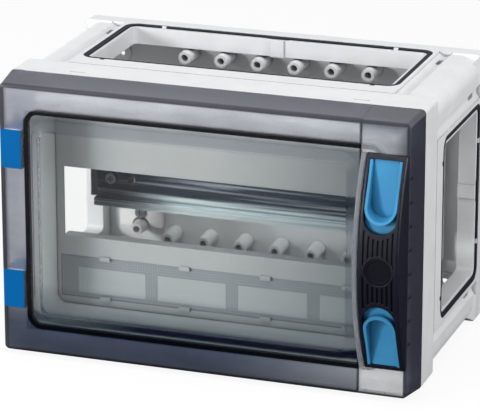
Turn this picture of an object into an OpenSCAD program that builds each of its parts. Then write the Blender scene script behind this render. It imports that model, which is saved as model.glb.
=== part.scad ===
// Wall-mounted electrical enclosure: a grey base with open, gasketed side walls, a rail for
// modular devices behind a slotted cover, and a smoked transparent door with a two-slide latch.
// X runs across the front, Y to the back and Z up. The origin is the middle of the underside.

/* [Base] */
// Overall width
box_w = 270; // [240:1:330]
// Overall height
box_h = 180; // [170:1:240]
// Depth of the base, from the wall to the front of its rim
base_d = 138; // [128:1:170]
// Wall thickness of the base
wall = 3; // [2.4:0.1:3.4]
// Corner radius of the rim, the back flange and the door
corner_r = 3; // [2:0.5:5]
// Depth of the full-size rim at the front
rim_d = 26; // [22:1:32]
// Thickness of the front of the rim
rim_t = 5; // [4:0.5:7]
// Width of the fine line between the rim and the walls behind it
rim_line_w = 0.8; // [0.5:0.1:1.5]
// Depth of that line, and of the short slots in the rim
rim_line_d = 0.5; // [0.3:0.1:1]
// Length of the short slots in the rim's upper and lower faces
rim_slot_l = 10.5; // [6:0.5:16]
// Distance of those slots from the front of the rim
rim_slot_d = 7; // [5:0.5:10]
// Distance of those slots from the side faces
rim_slot_end = 42.5; // [36:0.5:60]
// Thickness of the flange round the back wall
flange_t = 11; // [9:0.5:12]
// How far the corner columns stand back from the rim
column_inset = 1; // [0.5:0.1:2]
// Radius of the rounded corner columns
column_r = 12; // [8:0.5:14]
// Reach of each corner zone from the outer corner
corner_zone = 28; // [26:0.5:30]
// Width of the groove between a wall flange and a corner column
groove_w = 9; // [6:0.5:11]
// Depth of that groove below the wall flange
groove_t = 3; // [2:0.1:4]
// Width of the small slot in each groove
groove_slot_w = 3.2; // [2.4:0.2:4]
// Length of the small slot in each groove
groove_slot_l = 11; // [6:1:14]
// Distance of those slots from the wall
groove_slot_d = 26; // [22:1:40]
// Distance from the wall to the front of the corner lugs
lug_d = 18; // [16:0.5:24]

/* [Wall openings] */
// Distance of every wall opening from the neighbouring outer faces
opening_margin = 36; // [34:0.5:42]
// Distance of the wall openings from the wall behind
opening_back = 15.5; // [15:0.5:22]
// Distance of the wall openings from the rim
opening_front = 20; // [18:0.5:30]
// Corner radius of the wall openings
opening_r = 3; // [2:0.5:6]
// Depth of the frames round the wall openings
frame_t = 12.5; // [11:0.5:14]
// Width of the rib in the middle of each opening's back edge
edge_rib_w = 9; // [6:0.5:14]
// Thickness of that rib
edge_rib_t = 1.5; // [0.5:0.1:2]
// Width of the lip between a wall opening and its gasket
seal_lip = 2.3; // [2:0.1:3]
// How far that lip lies below the wall flange
lip_drop = 1.2; // [0.5:0.1:2]
// Width of the wall gaskets
seal_w = 3.4; // [2.8:0.1:4]
// Thickness of the wall gaskets
seal_t = 3; // [2:0.2:4]
// How far the wall gaskets lie below the wall flange
seal_sink = 0.3; // [0.1:0.1:0.8]
// Width of the small gasket tabs, and of the pegs that hold the gasket's back edge
tab_w = 3; // [2:0.2:5]
// How far the small tabs stand out, and the pegs reach in
tab_out = 1.8; // [1:0.1:2]
// Width of the thicker stretch in the middle of each back edge
tab_wide = 14; // [8:0.5:20]
// How much thicker that stretch is
tab_reach = 1; // [0.5:0.1:1.5]
// Distance of the small tabs from the end of the wall opening
tab_end = 10; // [6:0.5:16]

/* [Back wall] */
// Spacing of the screw domes along a row
dome_pitch = 25; // [22:0.5:30]
// Height of the screw domes
dome_l = 17; // [12:0.5:22]
// Radius of a screw dome at its foot
dome_r_foot = 5.1; // [4.6:0.1:5.4]
// Radius of a screw dome at its tip
dome_r_tip = 4.3; // [3.4:0.1:4.5]
// Radius of the hole in a screw dome
dome_hole_r = 2.3; // [1:0.1:2.5]
// Number of domes in the upper row
domes_upper = 6; // [2:2:8]
// Number of domes in the lower row
domes_lower = 7; // [1:2:7]
// Height of the upper dome row above the middle
dome_row_upper = 72; // [60:0.5:72]
// Distance of the lower dome row below the middle
dome_row_lower = 54.5; // [50:0.5:70]
// Radius of the four wall-fixing holes
fix_r = 3; // [2:0.1:3.6]
// Radius of the collars round the wall-fixing holes
fix_collar_r = 6.5; // [5:0.5:8]
// Height of the collars round the wall-fixing holes
fix_collar_t = 3; // [1:0.5:5]
// Distance of the wall-fixing holes from the outer faces
fix_inset = 22.5; // [21.5:0.5:25]

/* [Collar and inner cover] */
// Distance from the outer faces to the outside of the collar under the door
collar_inset = 18; // [17.5:0.1:20]
// Wall thickness of the collar
collar_t = 3; // [2.4:0.1:4]
// Outer corner radius of the collar
collar_r = 9.5; // [6:0.5:12]
// How far the collar stands forward of the rim
collar_h = 19; // [16:0.5:20]
// Width of the ledge that carries the inner cover
cover_ledge = 3; // [2:0.2:5]
// Thickness of that ledge
cover_ledge_t = 4; // [3:0.5:6]
// Distance from the front of the rim back to the face of the inner cover
cover_sink = 21; // [18:0.5:24]
// Thickness of the inner cover
cover_t = 2.5; // [2:0.1:3.5]
// Gap round the inner cover
cover_gap = 0.3; // [0.1:0.1:0.6]
// Distance from the outer faces to the ends of the device slot
slot_margin = 26; // [25:0.5:40]
// Height of the device slot
slot_h = 46; // [44:0.5:50]
// Depth of the flanges above and below the device slot
slot_flange = 6; // [3:0.5:10]
// Height of the label recess
label_h = 28; // [20:0.5:30]
// Distance of the label recess from the lower edge of the inner cover
label_edge = 4.7; // [3:0.1:6]
// Thickness of the label strip
label_t = 0.4; // [0.3:0.1:0.6]
// Thickness of the clear strip over the labels
label_cover_t = 0.9; // [0.6:0.1:1.2]
// Pitch of the label fields and of the clips along the label recess
label_pitch = 54; // [48:1:60]
// Width of a clip
clip_w = 7; // [4:0.5:12]
// Reach of a clip over the clear strip
clip_reach = 1.8; // [1:0.1:3]
// Thickness of a clip
clip_t = 1.2; // [0.8:0.1:2]

/* [Rail] */
// Height of the mounting rail
rail_h = 35; // [34:0.5:36]
// Depth of the mounting rail
rail_t = 7.5; // [7:0.5:10]
// Sheet thickness of the mounting rail
rail_sheet = 1; // [0.8:0.1:1.5]
// Height of the rail's raised middle
rail_web = 27; // [25:0.5:28]
// Distance from the outer faces to the ends of the rail
rail_margin = 28; // [26:0.5:34]
// Distance from the wall to the lips of the rail
rail_d = 70; // [62:0.5:76]
// Radius of the rail holes
rail_hole_r = 2.5; // [2.2:0.1:3]
// Distance from the rail's end to its fixing hole
rail_hole_end = 10; // [8:0.5:14]
// Spacing of the two holes at each end of the rail
rail_hole_pitch = 14; // [10:0.5:20]
// Width of a rail bracket
bracket_w = 30; // [26:0.5:30]
// Wall thickness of a rail bracket
bracket_t = 3; // [2:0.1:4]
// Length of a bracket's foot
bracket_foot = 100; // [90:1:104]
// Height of the pads under a bracket's foot
bracket_pad = 5; // [4:0.5:8]
// Distance of a bracket's screws from the ends of its foot
bracket_hole_end = 10; // [9:0.5:12]
// Radius of the screws
screw_r = 1.8; // [1.5:0.1:2]
// Radius of the screw heads
screw_head_r = 3.6; // [3:0.1:4]
// Height of the screw heads
screw_head_t = 2.2; // [1.5:0.1:3]
// Length of the screws under the head
screw_l = 9; // [7:0.5:9]

/* [Door] */
// Depth of the door, from its back edge to its front face
door_d = 24.7; // [23:0.1:27]
// Gap between the door and the rim
door_gap = 0.3; // [0.2:0.1:0.6]
// Wall thickness of the door
door_t = 2.6; // [2:0.1:3]
// How much smaller the front of the door is, on each side
door_taper = 2.4; // [1:0.1:3]
// Size of the rounded front edge of the door
door_edge = 1.5; // [0.8:0.1:2]
// Height of the raised field of the window
field_h = 3.5; // [2:0.1:4]
// Run of the slope round the raised field
field_slope = 5.5; // [4:0.1:6]
// Distance of the raised field from the door's left, upper and lower edges
field_margin = 23.5; // [23:0.5:30]
// Corner radius of the raised field
field_r = 6; // [4:0.5:10]
// Width of the latch strip at the right of the door
strip_w = 33.3; // [32.8:0.1:36]
// Gap between the window and the latch strip
strip_gap = 0.3; // [0.1:0.1:0.4]
// Width of the door gasket
door_seal_w = 3; // [2:0.1:3.4]
// Gap between the door gasket and the collar
door_seal_gap = 0.3; // [0.2:0.1:0.6]
// Largest opening angle of the door
door_open = 110; // [95:1:120]

/* [Hinges] */
// Height of a hinge block
hinge_h = 25; // [20:0.5:30]
// Width of a hinge block on the door's face
hinge_w = 14.6; // [14:0.1:16]
// Distance of the hinges from the middle
hinge_z = 46; // [35:0.5:52]
// Distance of the hinge axis from the left face
pin_inset = 5; // [5:0.1:5.6]
// Distance of the hinge axis from the front of the rim
pin_front = 8; // [7.6:0.1:9]
// Radius of a hinge pin
pin_r = 2; // [1.5:0.1:2.2]
// Running clearance of a hinge pin
pin_clear = 0.06; // [0.03:0.01:0.1]
// Thickness of a hinge ear
ear_t = 9; // [6:0.5:12]
// Outer radius of a hinge ear
ear_r = 4.2; // [3.8:0.1:4.4]

/* [Latch] */
// Left side of the grip, from the door's right face
grip_left = 28.4; // [28:0.1:29]
// Right side of the grip, from the door's right face
grip_right = 2.6; // [2.5:0.1:3]
// Height of the grip
grip_h = 136; // [132:1:150]
// Height of the bow in the middle
bow_h = 21; // [20:0.5:24]
// Height of the bow at its ends
bow_end = 3.5; // [3:0.1:5]
// Thickness of the grip's skin
grip_t = 3; // [2.4:0.1:3.2]
// Thickness of the grip's sides
grip_side = 2.3; // [2:0.1:2.4]
// Rounding of the grip's long edges
grip_edge = 1.6; // [0.8:0.1:2]
// Gap between the grip and the strip's bowed rib
rib_gap = 0.1; // [0.05:0.05:0.3]
// Width of the bowed rib at the left of the grip
rib_w = 3.4; // [2:0.1:3.6]
// Width of the grooves across the grip
ridge_w = 1.5; // [1:0.1:2]
// Depth of the grooves across the grip
ridge_d = 0.9; // [0.4:0.1:1.4]
// Pitch of the grooves across the grip
ridge_pitch = 3; // [2.6:0.1:3.2]
// Radius of the round plug in the middle of the grip
plug_r = 8.5; // [6:0.5:9.5]
// Width of the plug's flange under the skin of the grip
plug_flange = 2; // [1:0.1:2.4]
// Thickness of the plug's flange
plug_flange_t = 3; // [2:0.1:4]
// How far the plug lies below the bow
plug_sink = 0.5; // [0.2:0.1:1]
// Width of a latch slide
slide_w = 20.2; // [18:0.1:20.4]
// Distance of the round end of a latch slide from the middle
slide_in = 29; // [27:0.5:33]
// Distance of the square end of a latch slide from the end of the grip
slide_end = 2.7; // [2.6:0.1:5]
// Travel of a latch slide
latch_travel = 5; // [4:0.1:6]
// Clearance round a latch slide
slide_clear = 0.35; // [0.3:0.05:0.5]
// How far the round end of a slide stands above the bow
slide_proud = 1.6; // [0.5:0.1:1.8]
// Rim round the finger dish of a slide
dish_rim = 1.8; // [1.2:0.1:2.6]
// Depth of the finger dish at its round end
dish_d = 11.5; // [8:0.5:13]
// Width of a hook leg
hook_w = 7; // [5:0.5:8]
// How far the hooks lie inside the middle of the space beside the collar
hook_shift = 3; // [2:0.1:3.4]
// Thickness of a hook leg and its nose
hook_t = 4; // [3:0.1:5]
// Distance of a hook leg from the middle
hook_z = 46; // [44:0.5:48]
// Reach of a hook nose beyond its leg
hook_reach = 6.5; // [6:0.1:7]
// Overlap of a hook nose and its catch
hook_grip = 2; // [1.5:0.1:3]
// Distance from the front of the rim to the back of a hook nose
hook_lift = 5; // [4:0.5:7]
// Clearance between a hook and its catch
hook_clear = 0.5; // [0.3:0.1:0.8]
// Number of small notches in the strip's edge
notches = 8; // [4:1:10]
// Width of those notches
notch_w = 1.6; // [1:0.1:2.4]
// Length of those notches along the side
notch_l = 6; // [3:0.5:10]
// Depth of those notches into the edge
notch_d = 1; // [0.5:0.1:1.5]

/* [Hidden] */
$fn = 48;

// Small overlap that joins or cuts solids cleanly
e = 0.5;
// Length that passes through everything
far = 400;

// Depths are measured forward from the wall, heights from the middle of the box
half_w = box_w / 2;
half_h = box_h / 2;
door_back = base_d + door_gap;
door_front = door_back + door_d;
total_d = door_front + bow_h;
y_wall = total_d / 2;

rim_back = base_d - rim_d;
skin = groove_t + wall;
opening_w = box_w - 2 * opening_margin;
opening_h = box_h - 2 * opening_margin;
opening_d0 = opening_back;
opening_d1 = rim_back - opening_front;
opening_dc = (opening_d0 + opening_d1) / 2;
seal_out = seal_lip + seal_w;
opening_wall = 3.5;
groove_mid = corner_zone - groove_w / 2;
groove_r = (pow(groove_w / 2, 2) + pow(groove_t, 2)) / (2 * groove_t);

collar_w = box_w - 2 * collar_inset;
collar_hh = box_h - 2 * collar_inset;
collar_front = base_d + collar_h;

cover_face = base_d - cover_sink;
cover_back = cover_face - cover_t;
cover_w = collar_w - 2 * collar_t - 2 * cover_gap;
cover_hh = collar_hh - 2 * collar_t - 2 * cover_gap;
slot_w = box_w - 2 * slot_margin;
label_w = cover_w - 2 * cover_t;
label_z = -cover_hh / 2 + label_edge + label_h / 2;
label_floor = cover_face - label_t - label_cover_t;
label_gap = 0.2;
clip_xs = [for (i = [-1.5 : 1 : 1.5]) i * label_pitch];

rail_back = rail_d - rail_t;
rail_end = half_w - rail_margin;
rail_hole_x = rail_end - rail_hole_end;
bracket_x = rail_hole_x;
bracket_foot_d = wall + bracket_pad;
bracket_hole_z = bracket_foot / 2 - bracket_hole_end;
dome_tip = wall + dome_l;
dome_room = 1;
pad_rim = 1;
screw_fit = 0.05;
thread_fit = 0.02;
recess_floor = 0.8;

pin_x = -half_w + pin_inset;
pin_d = base_d + pin_front;
swing_r = norm([pin_inset, pin_d - door_back]);
swing_clear = 0.4;
pin_press = 0.01;
inner_swing_r = collar_inset - pin_inset - swing_clear;
hinge_fit = 0.1;
least_r = 1;
layer = 0.01;
notch_rise = tan(door_open - 90) * pin_inset + (ear_r + swing_clear) / cos(door_open - 90);

seam_x = half_w - strip_w;
field_x0 = -half_w + field_margin + field_slope;
field_seam = 1;
field_x1 = seam_x - field_seam - field_slope;

grip_x0 = half_w - grip_left;
grip_x1 = half_w - grip_right;
grip_x = (grip_x0 + grip_x1) / 2;
bow_rise = bow_h - bow_end;
bow_r = (pow(grip_h / 2, 2) + pow(bow_rise, 2)) / (2 * bow_rise);
bow_c = bow_h - bow_r;
slide_r = slide_w / 2;
slide_out = grip_h / 2 - slide_end;
slide_spare = 1.2;
window_r = slide_r + slide_clear;
window_in = slide_in - latch_travel - slide_spare;
tongue_lap = 4.8;
tongue_clear = 0.5;
tongue_in = window_in - tongue_lap;
tongue_h = sqrt(pow(bow_r - grip_t, 2) - pow(window_in, 2)) + bow_c - tongue_clear;
slide_sink = 0.2;
slide_top_in = bow_height(slide_in) + slide_proud;
slide_top_out = bow_height(slide_out) - slide_sink;
slide_foot = 0.5;
dish_lip = 1.2;
hook_root = 1;
hook_x = half_w - collar_inset / 2 - hook_shift;
hook_back = base_d + hook_lift;
nose_out = hook_z + hook_t / 2 + hook_reach;
catch_in = nose_out - hook_grip;
catch_wall = nose_out + hook_clear;
plug_fit = 0.05;
plug_seat_gap = 0.1;
rib_sink = 0.3;
sharp = 0.2;

// Height of the bow above the door's front face, at a distance from the middle
function bow_height(z) = sqrt(pow(bow_r, 2) - pow(z, 2)) + bow_c;

// Evenly spread places about the middle
function row(count, pitch) = [for (i = [0 : count - 1]) (i - (count - 1) / 2) * pitch];

// Moves to a place given as across, depth and height
module at(x, d, z) {
    translate([x, y_wall - d, half_h + z]) children();
}

// Box between two widths, two depths and two heights
module block(x0, x1, d0, d1, z0, z1) {
    at(x0, d1, z0) cube([x1 - x0, d1 - d0, z1 - z0]);
}

// Extrudes a front view, given as across and height, between two depths
module slab(d0, d1) {
    at(0, d0, 0) rotate([90, 0, 0]) linear_extrude(d1 - d0) children();
}

// Extrudes a side view, given as height and depth, between two widths
module side(x0, x1) {
    at(x0, 0, 0) rotate(a = 180, v = [1, 0, 1]) linear_extrude(x1 - x0) children();
}

// Extrudes a top view, given as across and depth, between two heights
module plan(z0, z1) {
    at(0, 0, z1) rotate([180, 0, 0]) linear_extrude(z1 - z0) children();
}

// Round bar from one depth to another
module bar(x, z, d0, d1, r) {
    at(x, d0, z) rotate([90, 0, 0]) cylinder(r = r, h = d1 - d0);
}

// Rectangle with round corners, about the middle
module rounded(w, h, r) {
    square([w - 2 * r, h], center = true);
    square([w, h - 2 * r], center = true);
    for (x = [-1, 1], y = [-1, 1]) {
        translate([x * (w / 2 - r), y * (h / 2 - r)]) circle(r);
    }
}

// Slot with round ends, longer along the second direction
module slot(w, l) {
    square([w, l - w], center = true);
    for (y = [-1, 1]) {
        translate([0, y * (l - w) / 2]) circle(w / 2);
    }
}

// Outline of the base between the rim and the back flange, with a round groove beside each column
module body_outline() {
    lift = groove_r - groove_t;
    difference() {
        union() {
            square([box_w - 2 * corner_zone, box_h], center = true);
            square([box_w, box_h - 2 * corner_zone], center = true);
            rounded(box_w - 2 * column_inset, box_h - 2 * column_inset, column_r);
        }
        for (x = [-1, 1], y = [-1, 1]) {
            translate([x * (half_w - groove_mid), y * (half_h + lift)]) circle(groove_r);
            translate([x * (half_w + lift), y * (half_h - groove_mid)]) circle(groove_r);
        }
    }
}

// Inside of the base, wider in the corner columns than between the wall openings
module cavity_outline() {
    rounded(box_w - 2 * frame_t, box_h - 2 * frame_t, collar_r);
    intersection() {
        rounded(box_w - 2 * skin, box_h - 2 * skin, column_r - wall);
        for (x = [-1, 1], y = [-1, 1]) {
            translate([x * half_w, y * half_h]) square(2 * corner_zone, center = true);
        }
    }
}

// Lug that fills the corner between a rounded column and the back flange
module corner_lug(sx, sz) {
    column = corner_zone - groove_w;
    drop = column_inset + column_r * (1 - cos(45));
    intersection() {
        slab(0, lug_d) rounded(box_w, box_h, corner_r);
        plan(-half_h, half_h) polygon([
            [sx * (half_w - column), 0], [sx * half_w, 0], [sx * half_w, flange_t],
            [sx * (half_w - drop), lug_d], [sx * (half_w - column), lug_d]
        ]);
        side(-half_w, half_w) polygon([
            [sz * (half_h - column), 0], [sz * half_h, 0], [sz * half_h, flange_t],
            [sz * (half_h - drop), lug_d], [sz * (half_h - column), lug_d]
        ]);
    }
}

// Wall opening with the rib of its back edge, about its middle
module opening_outline(length) {
    depth = opening_d1 - opening_d0;
    difference() {
        rounded(length, depth, opening_r);
        translate([0, -depth / 2]) square([edge_rib_w, 2 * edge_rib_t], center = true);
    }
}

// Inner edge of the gasket round a wall opening, about the opening's middle
module lip_outline(length) {
    rounded(length + 2 * seal_lip, opening_d1 - opening_d0 + 2 * seal_lip, opening_r + seal_lip);
}

// Gasket round a wall opening, with its tabs and the room for its pegs, about the opening's middle
module seal_outline(length) {
    depth = opening_d1 - opening_d0;
    front = depth / 2 + seal_out;
    back = -depth / 2 - seal_lip;
    difference() {
        union() {
            rounded(length + 2 * seal_out, depth + 2 * seal_out, opening_r + seal_out);
            for (s = [-1, 1]) {
                translate([s * (length / 2 - tab_end), front])
                    square([tab_w, 2 * tab_out], center = true);
            }
        }
        difference() {
            lip_outline(length);
            translate([0, back]) square([tab_wide, 2 * tab_reach], center = true);
        }
        for (s = [-1, 1]) {
            translate([s * (length / 2 - 2 * tab_end), back])
                square([tab_w, 2 * tab_out], center = true);
        }
    }
}

// Places a top view of a wall opening on the upper or lower wall
module on_level_wall(s, inner, outer) {
    lo = min(s * (half_h - inner), s * (half_h - outer));
    plan(lo, lo + abs(inner - outer)) translate([0, opening_dc]) children();
}

// Places a side view of a wall opening on the left or right wall
module on_side_wall(s, inner, outer) {
    lo = min(s * (half_w - inner), s * (half_w - outer));
    side(lo, lo + abs(inner - outer)) translate([0, opening_dc]) children();
}

// Hollows the frames in front of the wall openings, from inside
module frame_hollows() {
    d0 = opening_d1 + opening_wall;
    d1 = rim_back - wall;
    depth = seal_t + seal_sink + wall;
    block(-opening_w / 2, opening_w / 2, d0, d1, -half_h + depth, half_h - depth);
    block(-half_w + depth, half_w - depth, d0, d1, -opening_h / 2, opening_h / 2);
}

// Tapered dome with a blind screw hole
module dome(x, z) {
    at(x, wall - e, z) rotate([90, 0, 0]) cylinder(r1 = dome_r_foot, r2 = dome_r_tip, h = dome_l + e);
}

// Places of every screw dome on the back wall
dome_places = concat(
    [for (x = row(domes_upper, dome_pitch)) [x, dome_row_upper]],
    [for (x = row(domes_lower, dome_pitch)) [x, -dome_row_lower]],
    [for (s = [-1, 1]) [s * bracket_x, -dome_row_lower + dome_r_foot]]
);

// Places of the bracket screws and of the wall-fixing holes
bracket_places = [for (s = [-1, 1], z = [-1, 1]) [s * bracket_x, z * bracket_hole_z]];
fix_places = [for (s = [-1, 1], z = [-1, 1]) [s * (half_w - fix_inset), z * (half_h - fix_inset)]];

// Ear that carries one hinge pin
module hinge_ear(z) {
    plan(z - ear_t / 2, z + ear_t / 2) {
        translate([pin_x, pin_d]) circle(ear_r);
        translate([pin_x - ear_r, base_d - rim_t + e]) square([2 * ear_r, pin_front + rim_t - e]);
    }
}

// Hooked block that holds one latch slide
module catch(s) {
    top = hook_back + hook_t + hook_clear + hook_t;
    side(hook_x - hook_w / 2 - e, hook_x + hook_w / 2 + e) polygon([
        [s * catch_wall, base_d - e], [s * (catch_wall + hook_t), base_d - e],
        [s * (catch_wall + hook_t), top], [s * catch_wall, top],
        [s * catch_in, top - hook_t / 2], [s * catch_in, top - hook_t], [s * catch_wall, top - hook_t]
    ]);
}

module base_box() {
    color("#e3e5e4") difference() {
        union() {
            slab(flange_t - e, rim_back + e) body_outline();
            slab(0, flange_t) rounded(box_w, box_h, corner_r);
            slab(rim_back, base_d) rounded(box_w, box_h, corner_r);
            slab(cover_back - cover_ledge_t, collar_front) rounded(collar_w, collar_hh, collar_r);
            for (sx = [-1, 1], sz = [-1, 1]) {
                corner_lug(sx, sz);
            }
            for (s = [-1, 1]) {
                hinge_ear(s * hinge_z);
                catch(s);
            }
        }
        base_hollow();
        for (s = [-1, 1]) {
            on_level_wall(s, -e, frame_t + e) opening_outline(opening_w);
            on_side_wall(s, -e, frame_t + e) opening_outline(opening_h);
            on_level_wall(s, -e, lip_drop) lip_outline(opening_w);
            on_side_wall(s, -e, lip_drop) lip_outline(opening_h);
            on_level_wall(s, -e, seal_t + seal_sink) seal_outline(opening_w);
            on_side_wall(s, -e, seal_t + seal_sink) seal_outline(opening_h);
        }
        rim_marks();
        groove_slots();
        hinge_relief();
        for (p = dome_places) {
            bar(p[0], p[1], wall + e, dome_tip + e, dome_hole_r);
        }
        for (p = bracket_places) {
            bar(p[0], p[1], wall / 2, bracket_foot_d + e, screw_r);
        }
        for (p = fix_places) {
            bar(p[0], p[1], -e, wall + fix_collar_t + e, fix_r);
        }
    }
}

// Inside of the base, with the domes, pads and collars left standing
module base_hollow() {
    ledge_inset = collar_t + cover_ledge;
    difference() {
        union() {
            slab(wall, rim_back + wall + e) cavity_outline();
            slab(rim_back + wall, base_d - rim_t)
                rounded(box_w - 2 * wall, box_h - 2 * wall, corner_r);
            frame_hollows();
        }
        slab(cover_back - cover_ledge_t, collar_front) rounded(collar_w, collar_hh, collar_r);
        for (p = dome_places) {
            dome(p[0], p[1]);
        }
        for (p = bracket_places) {
            bar(p[0], p[1], wall - e, bracket_foot_d, screw_head_r + pad_rim);
        }
        for (p = fix_places) {
            bar(p[0], p[1], wall - e, wall + fix_collar_t, fix_collar_r);
        }
    }
    slab(cover_back, collar_front + e)
        rounded(collar_w - 2 * collar_t, collar_hh - 2 * collar_t, collar_r - collar_t);
    slab(cover_back - cover_ledge_t - e, cover_back + e)
        rounded(collar_w - 2 * ledge_inset, collar_hh - 2 * ledge_inset, collar_r - collar_t);
}

// Fine line round the back of the rim, and short slots in its upper and lower faces
module rim_marks() {
    slot_mid = base_d - rim_slot_d;
    difference() {
        slab(rim_back - rim_line_w, rim_back) square([box_w + 2 * e, box_h + 2 * e], center = true);
        slab(0, base_d) square([box_w - 2 * rim_line_d, box_h - 2 * rim_line_d], center = true);
    }
    for (x = [-1, 1], z = [-1, 1]) {
        at(x * (half_w - rim_slot_end), slot_mid, z * half_h)
            cube([rim_slot_l, rim_line_w, 2 * rim_line_d], center = true);
    }
}

// Small slots at the back of the eight grooves
module groove_slots() {
    for (sx = [-1, 1], sz = [-1, 1]) {
        lo = min(sz * half_h, sz * (half_h - skin - e));
        plan(lo, lo + skin + e)
            translate([sx * (half_w - groove_mid), groove_slot_d]) slot(groove_slot_w, groove_slot_l);
        left = min(sx * half_w, sx * (half_w - skin - e));
        side(left, left + skin + e)
            translate([sz * (half_h - groove_mid), groove_slot_d]) slot(groove_slot_w, groove_slot_l);
    }
}

// Gutter that lets the door's back edge swing past the rim, with the pin bores of the ears
module hinge_relief() {
    difference() {
        at(pin_x, pin_d, -half_h - e) cylinder(r = swing_r + swing_clear, h = box_h + 2 * e);
        for (s = [-1, 1]) {
            hinge_ear(s * hinge_z);
        }
    }
    at(pin_x, pin_d, -half_h) cylinder(r = pin_r, h = box_h);
}

module wall_seal_top() {
    color("#22222b") on_level_wall(1, seal_sink, seal_sink + seal_t) seal_outline(opening_w);
}

module wall_seal_bottom() {
    color("#22222b") on_level_wall(-1, seal_sink, seal_sink + seal_t) seal_outline(opening_w);
}

module wall_seal_left() {
    color("#22222b") on_side_wall(-1, seal_sink, seal_sink + seal_t) seal_outline(opening_h);
}

module wall_seal_right() {
    color("#22222b") on_side_wall(1, seal_sink, seal_sink + seal_t) seal_outline(opening_h);
}

// Slotted cover that drops into the collar, with a recess and clips for the labels
module inner_cover() {
    color("#c9cccb") difference() {
        union() {
            slab(cover_back, cover_face) rounded(cover_w, cover_hh, collar_r - collar_t);
            slab(cover_back - slot_flange, cover_face) square([slot_w, slot_h + 2 * cover_t], center = true);
            for (x = clip_xs, s = [-1, 1]) {
                translate([0, 0, label_z + s * (label_h / 2 - clip_reach / 2 + e)])
                    block(x - clip_w / 2, x + clip_w / 2, cover_face, cover_face + clip_t,
                        -clip_reach / 2 - e, clip_reach / 2 + e);
            }
        }
        slab(cover_back - slot_flange - e, cover_face + e) square([slot_w, slot_h], center = true);
        slab(label_floor, cover_face) translate([0, label_z]) square([label_w, label_h], center = true);
    }
}

module label_strip() {
    color("#f2f3f3") slab(label_floor, label_floor + label_t) translate([0, label_z])
        square([label_w - 2 * label_gap, label_h - 2 * label_gap], center = true);
}

module label_cover() {
    color("#dfe6ea", 0.35) slab(label_floor + label_t, cover_face) translate([0, label_z])
        square([label_w - 2 * label_gap, label_h - 2 * label_gap], center = true);
}

// Top-hat section of the rail, as height and depth
module rail_section() {
    lip = rail_h / 2;
    web = rail_web / 2;
    difference() {
        polygon([
            [-lip, rail_d], [-lip, rail_d - rail_sheet], [-web, rail_d - rail_sheet], [-web, rail_back],
            [web, rail_back], [web, rail_d - rail_sheet], [lip, rail_d - rail_sheet], [lip, rail_d]
        ]);
        translate([-web + rail_sheet, rail_back + rail_sheet])
            square([rail_web - 2 * rail_sheet, rail_t]);
    }
}

module din_rail() {
    color("#b9c2c6") difference() {
        side(-rail_end, rail_end) rail_section();
        for (s = [-1, 1], i = [0, 1]) {
            bar(s * (rail_hole_x - i * rail_hole_pitch), 0, rail_back - e, rail_d, rail_hole_r);
        }
    }
}

// Moulded stand for one end of the rail, with a foot that is arched round a screw dome
module rail_bracket(s) {
    x0 = s * bracket_x - bracket_w / 2;
    x1 = s * bracket_x + bracket_w / 2;
    foot_top = bracket_foot_d + bracket_t;
    pad_z = rail_web / 2;
    color("#e9ebea") difference() {
        union() {
            block(x0, x1, bracket_foot_d, foot_top, -bracket_foot / 2, bracket_foot / 2);
            block(x0, x1, rail_back - bracket_t, rail_back, -pad_z, pad_z);
            for (x = [x0, x1 - bracket_t]) {
                side(x, x + bracket_t) polygon([
                    [-pad_z, rail_back], [pad_z, rail_back],
                    [bracket_hole_z - screw_head_r - pad_rim, bracket_foot_d],
                    [-dome_row_lower + 2 * dome_r_foot + 4 * bracket_t, bracket_foot_d]
                ]);
            }
        }
        slab(bracket_foot_d - e, foot_top + e)
            translate([s * bracket_x, -dome_row_lower + dome_r_foot]) circle(dome_r_foot + dome_room);
        for (z = [-1, 1]) {
            bar(s * bracket_x, z * bracket_hole_z, bracket_foot_d - e, foot_top + e, screw_r + screw_fit);
        }
        bar(s * bracket_x, 0, rail_back - bracket_t - e, rail_back + e, screw_r);
    }
}

module rail_bracket_left() {
    rail_bracket(-1);
}

module rail_bracket_right() {
    rail_bracket(1);
}

// Pan-head screw with a cross recess, its head seated at a depth
module screw(x, z, seat) {
    recess = screw_head_r * 1.1;
    difference() {
        union() {
            bar(x, z, seat, seat + screw_head_t, screw_head_r);
            bar(x, z, seat - screw_l, seat + e, screw_r - thread_fit);
        }
        for (a = [0, 90]) {
            at(x, seat + screw_head_t, z) rotate([0, a, 0])
                cube([recess, 2 * (screw_head_t - recess_floor), screw_r / 2], center = true);
        }
    }
}

module rail_screws() {
    color("#4a4e52") for (s = [-1, 1]) {
        screw(s * rail_hole_x, 0, rail_back + rail_sheet);
    }
}

module bracket_screws() {
    color("#8f9498") for (p = bracket_places) {
        screw(p[0], p[1], bracket_foot_d + bracket_t);
    }
}

// Pin through one ear and the two knuckles of its hinge block
module hinge_pin(z) {
    color("#9aa0a4") at(pin_x, pin_d, z - hinge_h / 2 + hinge_fit)
        cylinder(r = pin_r - pin_press, h = hinge_h - 2 * hinge_fit);
}

module hinge_pin_upper() {
    hinge_pin(hinge_z);
}

module hinge_pin_lower() {
    hinge_pin(-hinge_z);
}

// Tapered form of the door, set in by a distance all round
module door_form(inset, d0, d1, edge) {
    front_inset = inset + door_taper;
    r = max(corner_r - inset, least_r);
    hull($fn = 32) {
        slab(d0, d0 + layer) rounded(box_w - 2 * inset, box_h - 2 * inset, r, $fn = 32);
        for (turn = [0, 45, 90]) {
            i = front_inset + edge * (1 - cos(turn));
            d = d1 - edge * (1 - sin(turn));
            slab(d - layer, d)
                rounded(box_w - 2 * i, box_h - 2 * i, r, $fn = 32);
        }
    }
}

// Hollow door, between two widths
module door_shell(x0, x1) {
    intersection() {
        difference() {
            door_form(0, door_back, door_front, door_edge);
            door_form(door_t, door_back - e, door_front - door_t, door_edge / 2);
        }
        block(x0, x1, 0, far, -far, far);
    }
}

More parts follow.
